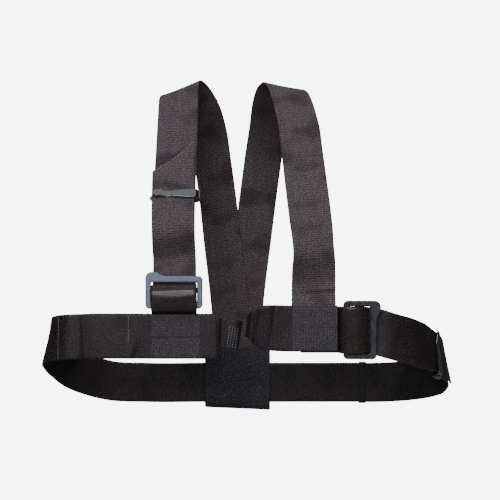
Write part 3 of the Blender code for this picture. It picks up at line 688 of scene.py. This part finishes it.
# %% Front panels
def right_folds(s, a):
    """A dent and a crest at the lower edge beside the sewn block, a hollow, and faint waves beyond it."""
    low = ramp(-a, 0.0, 1.0, -0.05, 0.45)
    dent = -2.2 * hump(s, 0.345, 0.016) * low + 1.0 * hump(s, 0.375, 0.014) * low
    return dent - 0.5 * hump(s, 0.30, 0.02) + 0.2 * np.sin(s * 26.0) * ramp(s, 0.0, 1.0, 0.42, 0.55)


PANEL_END = 3.45
PANEL_SLANT = -0.22
right_panel = band("right_front_panel_web", waist, belt_web, end=PANEL_END, cut_end=PANEL_SLANT,
                   relief=right_folds, lift=lambda s: ramp(s, 7.2, 2.4, 0.40, 0.66))
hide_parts("right_front_panel")
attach(right_panel, "webbing")


def left_folds(s, a):
    """Gathers towards the eye: a crest, a hollow and a crest on the front layer, fading into the block."""
    front = ramp(s, 1.0, 0.0, 0.46, 0.50)
    slant = s + 0.02 * a
    crests = 1.5 * hump(slant, 0.425, 0.020) + 0.5 * hump(slant, 0.31, 0.02)
    hollows = 1.6 * hump(slant, 0.372, 0.026) + 0.6 * hump(slant, 0.272, 0.012)
    return front * (crests - hollows)


left_panel_web = band("left_front_panel_web", left_panel, belt_web, relief=left_folds,
                      width=lambda s: 45.0 - 24.0 * hump(s, 0.5, 0.11))
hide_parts("left_front_panel")
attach(left_panel_web, "webbing")


def eye_folds(s, a):
    """A groove where the eye leaves the panel, a crest beside it, and a lower edge that curls back."""
    low = ramp(-a, 0.0, 1.0, 0.0, 0.5)
    return 1.6 * hump(s, 0.140, 0.022) - 1.3 * hump(s, 0.198, 0.028) + 2.2 * low * hump(s, 0.34, 0.10)


right_eye_web = band("right_eye_web", right_eye, belt_web, width=29.0, shift=2.0, step=0.8, relief=eye_folds)
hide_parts("right_front_eye")
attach(right_eye_web, "webbing")

# %% [markdown]
# ## Back sleeve and elastic
# The sleeve is one wide piece of twill webbing folded up under the belt, with the ends of both straps sewn
# into it. The elastic is a narrow band closed by a lap. Both are bands too, with the width along the belt.

# %% Sleeve and elastic
sleeve_path = path([((5.75, 43.6, -291), X), ((5.75, 43.6, -315), X), ((5.75, 43.6, -338), X),
                    ((5.75, 43.7, -351), X), ((5.75, 46.0, -357), X), ((5.75, 50.9, -359), X),
                    ((5.75, 55.8, -357), X), ((5.75, 58.1, -351), X), ((5.75, 58.2, -338), X),
                    ((5.75, 58.2, -315), X), ((5.75, 58.2, -291), X)])


def sleeve_sag(s, a):
    """The fold hangs 3 mm lower at one end than the other: -3 x a x a bell at the middle of the length."""
    return np.stack([0 * s, 0 * s, -3.4 * (a + 0.1) * hump(s, 0.5, 0.22)], axis=-1)


sleeve = band("back_sleeve_web", sleeve_path, sleeve_web, width=74.5, columns=40,
              warp=sleeve_sag, relief=drift)
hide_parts("back_sleeve")
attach(sleeve, "webbing")


def elastic_loop(x, y, z):
    """Round the belt, 22.9 mm above and below its centre, with the sewn lap on the inner side."""
    points = [(-1.6, -14), (-1.6, 0), (-1.6, 16), (-1.5, 21.5), (-0.8, 23.0), (0.8, 23.0), (1.6, 21.5),
              (1.7, 16), (1.7, 0), (1.7, -16), (1.6, -21.5), (0.8, -23.0), (-0.9, -23.2), (-1.9, -22.0),
              (-2.4, -18), (-2.6, -13), (-2.6, -9)]
    return path([((x, y + depth, z + height), X) for depth, height in points])


elastic_path = elastic_loop(148, 46.7, -330)
elastic = band("elastic_band_web", elastic_path, elastic_web, width=8.0, thickness=0.9, step=0.8, columns=6)
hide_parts("elastic_keeper")
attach(elastic, "elastic_band")

# %% [markdown]
# ## Spring clips
# A spring clip is one strip of bright steel bent round the web and its tail: a flat back with a rounded end,
# and a front arm whose tip is a narrow tongue raised for the thumb. The same band surface makes it, with a
# width that narrows along the strip. Its frame of reference is taken from the strap that it sits on.

# %% Spring clips
def clip(prefix, route, station, flip=1):
    """Back plate and arm of one clip, in the frame of the route at that station: across, outward, along."""
    point, across, normal = walk(route, np.array([float(station)]))
    x_axis = across[0] * flip
    y_axis = -normal[0]
    z_axis = np.cross(across[0], normal[0]) * -flip
    centre = point[0] + normal[0] * 1.45 * MM
    to_world = lambda points: (np.array([centre + (x * x_axis + y * y_axis) * MM for x, y in points]),
                               np.tile(z_axis, (len(points), 1)))
    back = to_world([(-25.6, 3.5), (-10, 3.5), (10, 3.5), (22.8, 3.5), (25.2, 2.8), (25.9, 1.1),
                     (25.9, -3.4)])
    arm = to_world([(24.3, 1.2), (24.3, -1.2), (22.7, -3.8), (14, -4.3), (2, -4.5), (-10, -3.8),
                    (-13.5, -5.0), (-17, -5.7), (-22.0, -5.3)])
    plate = band(prefix + "_clip_plate_steel", back, spring_steel, thickness=1.1, step=0.5, columns=10,
                 width=lambda s: 12.0 * (1 - 0.85 * np.clip(1 - s / 0.09, 0, 1) ** 2.6))
    tongue = band(prefix + "_clip_arm_steel", arm, spring_steel, thickness=1.1, step=0.4, columns=10,
                  width=lambda s: (ramp(s, 11.6, 8.2, 0.25, 0.62) + ramp(s, 0, 1.0, 0.70, 0.90)
                                   - 7.0 * np.clip((s - 0.9) / 0.1, 0, 1) ** 3))
    for piece, node, body in ((plate, "_clip_plate", "_clip"), (tongue, "_clip_arm", "_arm")):
        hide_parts(prefix + node)
        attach(piece, prefix + body)


clip("right", right_shoulder, 6.93)
clip("left", waist, 21.0, flip=-1)

# %% [markdown]
# ## Buckles
# The frames and slide bars are rigid metal whose CAD shape is already right, so they keep their meshes and
# only change their material.

# %% Buckle finishes
for node, finish in (("right_buckle_frame", blue_frame), ("right_slide_bar", blue_frame),
                     ("left_buckle_frame", black_frame), ("left_slide_bar", black_frame)):
    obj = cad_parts[node]
    for material_slot in obj.material_slots:
        material_slot.material = finish
print("buckle frames finished")

# %% [markdown]
# ## Sewing
# Each sewn block is a dense zigzag field in two halves, with a seam between. The thread lies on the surface
# of the outer layer, so the stitches are placed by the same path and lift as that layer. A line of the same
# spindles along the tail's slanted cut stands for its pale, heat-sealed edge.

# %% Sewn blocks and rows
def sew(name, parts, material, body="webbing", **how):
    """One object from several seams, riding on a body."""
    place, along, normal = (np.vstack(x) for x in zip(*parts))
    obj = stitches(name, place, along, normal, material, **how)
    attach(obj, body)
    return obj


def station_at(route, x, low, high):
    """Station numbers where a route that runs along X reaches the given X values in millimetres."""
    u = np.linspace(low, high, 400)
    xs = walk(route, u)[0][:, 0] / MM
    order = np.argsort(xs)
    return np.interp(x, xs[order], u[order])


PANEL_FRONT = 8.25
block_x, block_z = rows_of(np.arange(-77.4, -30.8, 1.55), np.concatenate([np.arange(-19.8, -1.0, 2.1),
                                                                          np.arange(2.8, 21.0, 2.1)]))
right_block = zigzag(seam(waist, station_at(waist, block_x, 0.0, 1.9), block_z, 8.2, crosswise=True))
seam_x = np.arange(-78.0, -30.0, 2.9)
right_seam = seam(waist, station_at(waist, seam_x, 0.0, 1.9), 0.9 + 0 * seam_x, PANEL_FRONT)
sew("right_block_stitches", [right_block, right_seam], thread, length=2.4, radius=0.42)

block_x, block_z = rows_of(np.arange(62.2, 105.0, 1.55), np.concatenate([np.arange(-20.2, -1.0, 2.1),
                                                                         np.arange(2.6, 21.0, 2.1)]))
left_block = zigzag(seam(left_panel, station_at(left_panel, block_x, 0.0, 2.0), block_z, 1.0, crosswise=True))
seam_x = np.arange(61.5, 105.0, 2.9)
left_seam = seam(left_panel, station_at(left_panel, seam_x, 0.0, 2.0), 0.6 + 0 * seam_x, 1.05)
sew("left_block_stitches", [left_block, left_seam], thread, length=2.4, radius=0.42)

eye_x, eye_z = rows_of(np.array([-1.2, 1.4, 4.0, 6.2]), np.arange(-10.5, 11.0, 2.7))
eye_u = station_at(right_eye, eye_x, 1.2, 3.6)
eye_place, eye_along, eye_out = seam(right_eye, eye_u, eye_z, -1.1, crosswise=True)
eye_rows = (eye_place, eye_along, -eye_out)
sew("right_eye_stitches", [eye_rows], pale_thread)

cut_a = np.arange(-20.6, 20.7, 1.9)
cut_u = tail_start + (TAIL_END + TAIL_SLANT * cut_a / STRAP_WIDTH) / TAIL_STEP - 0.35
cut_place, _, cut_out = seam(right_web, cut_u, cut_a, 0.95)
cut_along = unit(np.gradient(cut_place, axis=0))
sew("right_tail_sealed_edge", [(cut_place, cut_along, cut_out)], pale_thread, radius=0.4)

end_z = np.arange(-20.3, 21.0, 2.7)
end_u = PANEL_END - 0.16 + PANEL_SLANT * end_z / 45.0
slanted = seam(waist, end_u, end_z, 3.45, crosswise=True)
row_u = station_at(waist, -101.5 + 0 * end_z, 0.5, 3.0)
straight = seam(waist, row_u, end_z, PANEL_FRONT, crosswise=True)
sew("right_panel_stitches", [slanted, straight], pale_thread, radius=0.3)

# %% [markdown]
# ## Floor and light
# The harness hangs above a pale floor that sweeps up behind it. A soft light in front and a wide one above
# give the satin webs their highlights. The other three lights only fill: they are hidden from reflections, or
# the dark webs would turn grey. A weak pale world fills the rest.

# %% Stage and lights
SWEEP_LENGTH = 7.0
v = np.linspace(0, 1, 60)
angle = ramp(v, 0.0, math.pi / 2, 0.55, 0.75)
run = np.concatenate([[0], np.cumsum(np.cos(angle[:-1]) * SWEEP_LENGTH / 59)])
rise = np.concatenate([[0], np.cumsum(np.sin(angle[:-1]) * SWEEP_LENGTH / 59)])
across_x = np.array([-4.0, 4.0])
sweep = np.broadcast_arrays(across_x[None, :], (run - 2.6)[:, None], (rise - 0.62)[:, None])
sweep = np.stack(sweep, axis=-1)
row = np.arange(59)
floor_faces = np.stack([row * 2, row * 2 + 1, row * 2 + 3, row * 2 + 2], axis=-1).tolist()
floor_paint, tree, shader = start_material("pale studio paper", 0.9)
shader.inputs["Base Color"].default_value = (0.22, 0.22, 0.22, 1.0)
floor = mesh_object("studio_floor", sweep, floor_faces, np.zeros((120, 2)), floor_paint)


MIDDLE = np.array((0.0, 0.0, -0.2))


def soft_light(name, place, size, power, in_reflections=True):
    """A white square area light that faces the middle of the harness."""
    data = bpy.data.lights.new(name, "AREA")
    data.size = size
    data.energy = power
    light = bpy.data.objects.new(name, data)
    light.location = place
    direction = MIDDLE - np.array(place, float)
    pan = math.atan2(direction[0], -direction[1])
    tilt = math.acos(direction[2] / np.linalg.norm(direction) * -1)
    light.rotation_euler = (tilt, 0.0, pan + math.pi)
    light.visible_glossy = in_reflections
    bpy.context.scene.collection.objects.link(light)


soft_light("overhead softbox", (-0.25, -1.0, 1.5), 1.0, 33, in_reflections=False)
soft_light("front softbox", (-0.35, -2.0, 0.45), 0.7, 17)
soft_light("front fill", (0.3, -2.2, -0.1), 1.4, 23, in_reflections=False)
soft_light("back fill", (0.3, 2.2, 0.5), 1.4, 20, in_reflections=False)
soft_light("wide overhead", (0.2, -0.6, 1.7), 2.2, 12)


def seen_white(tree, kind, surface, output):
    """The camera sees bright paper; what lights the harness is dim, so its dark webs stay dark."""
    path_kind = tree.nodes.new("ShaderNodeLightPath")
    bright = tree.nodes.new(kind)
    bright.inputs["Strength"].default_value = 7.0
    bright.inputs["Color"].default_value = (1.0, 1.0, 1.0, 1.0)
    choice = tree.nodes.new("ShaderNodeMixShader")
    tree.links.new(path_kind.outputs["Is Camera Ray"], choice.inputs[0])
    tree.links.new(surface, choice.inputs[1])
    tree.links.new(bright.outputs[0], choice.inputs[2])
    tree.links.new(choice.outputs[0], output.inputs["Surface"])


paper = floor_paint.node_tree
seen_white(paper, "ShaderNodeEmission", shader.outputs[0], paper.nodes["Material Output"])
world = bpy.data.worlds.new("world")
world.use_nodes = True
sky = world.node_tree.nodes["Background"]
sky.inputs["Color"].default_value = (1.0, 1.0, 1.0, 1.0)
sky.inputs["Strength"].default_value = 0.03
seen_white(world.node_tree, "ShaderNodeBackground", sky.outputs[0], world.node_tree.nodes["World Output"])
bpy.context.scene.world = world
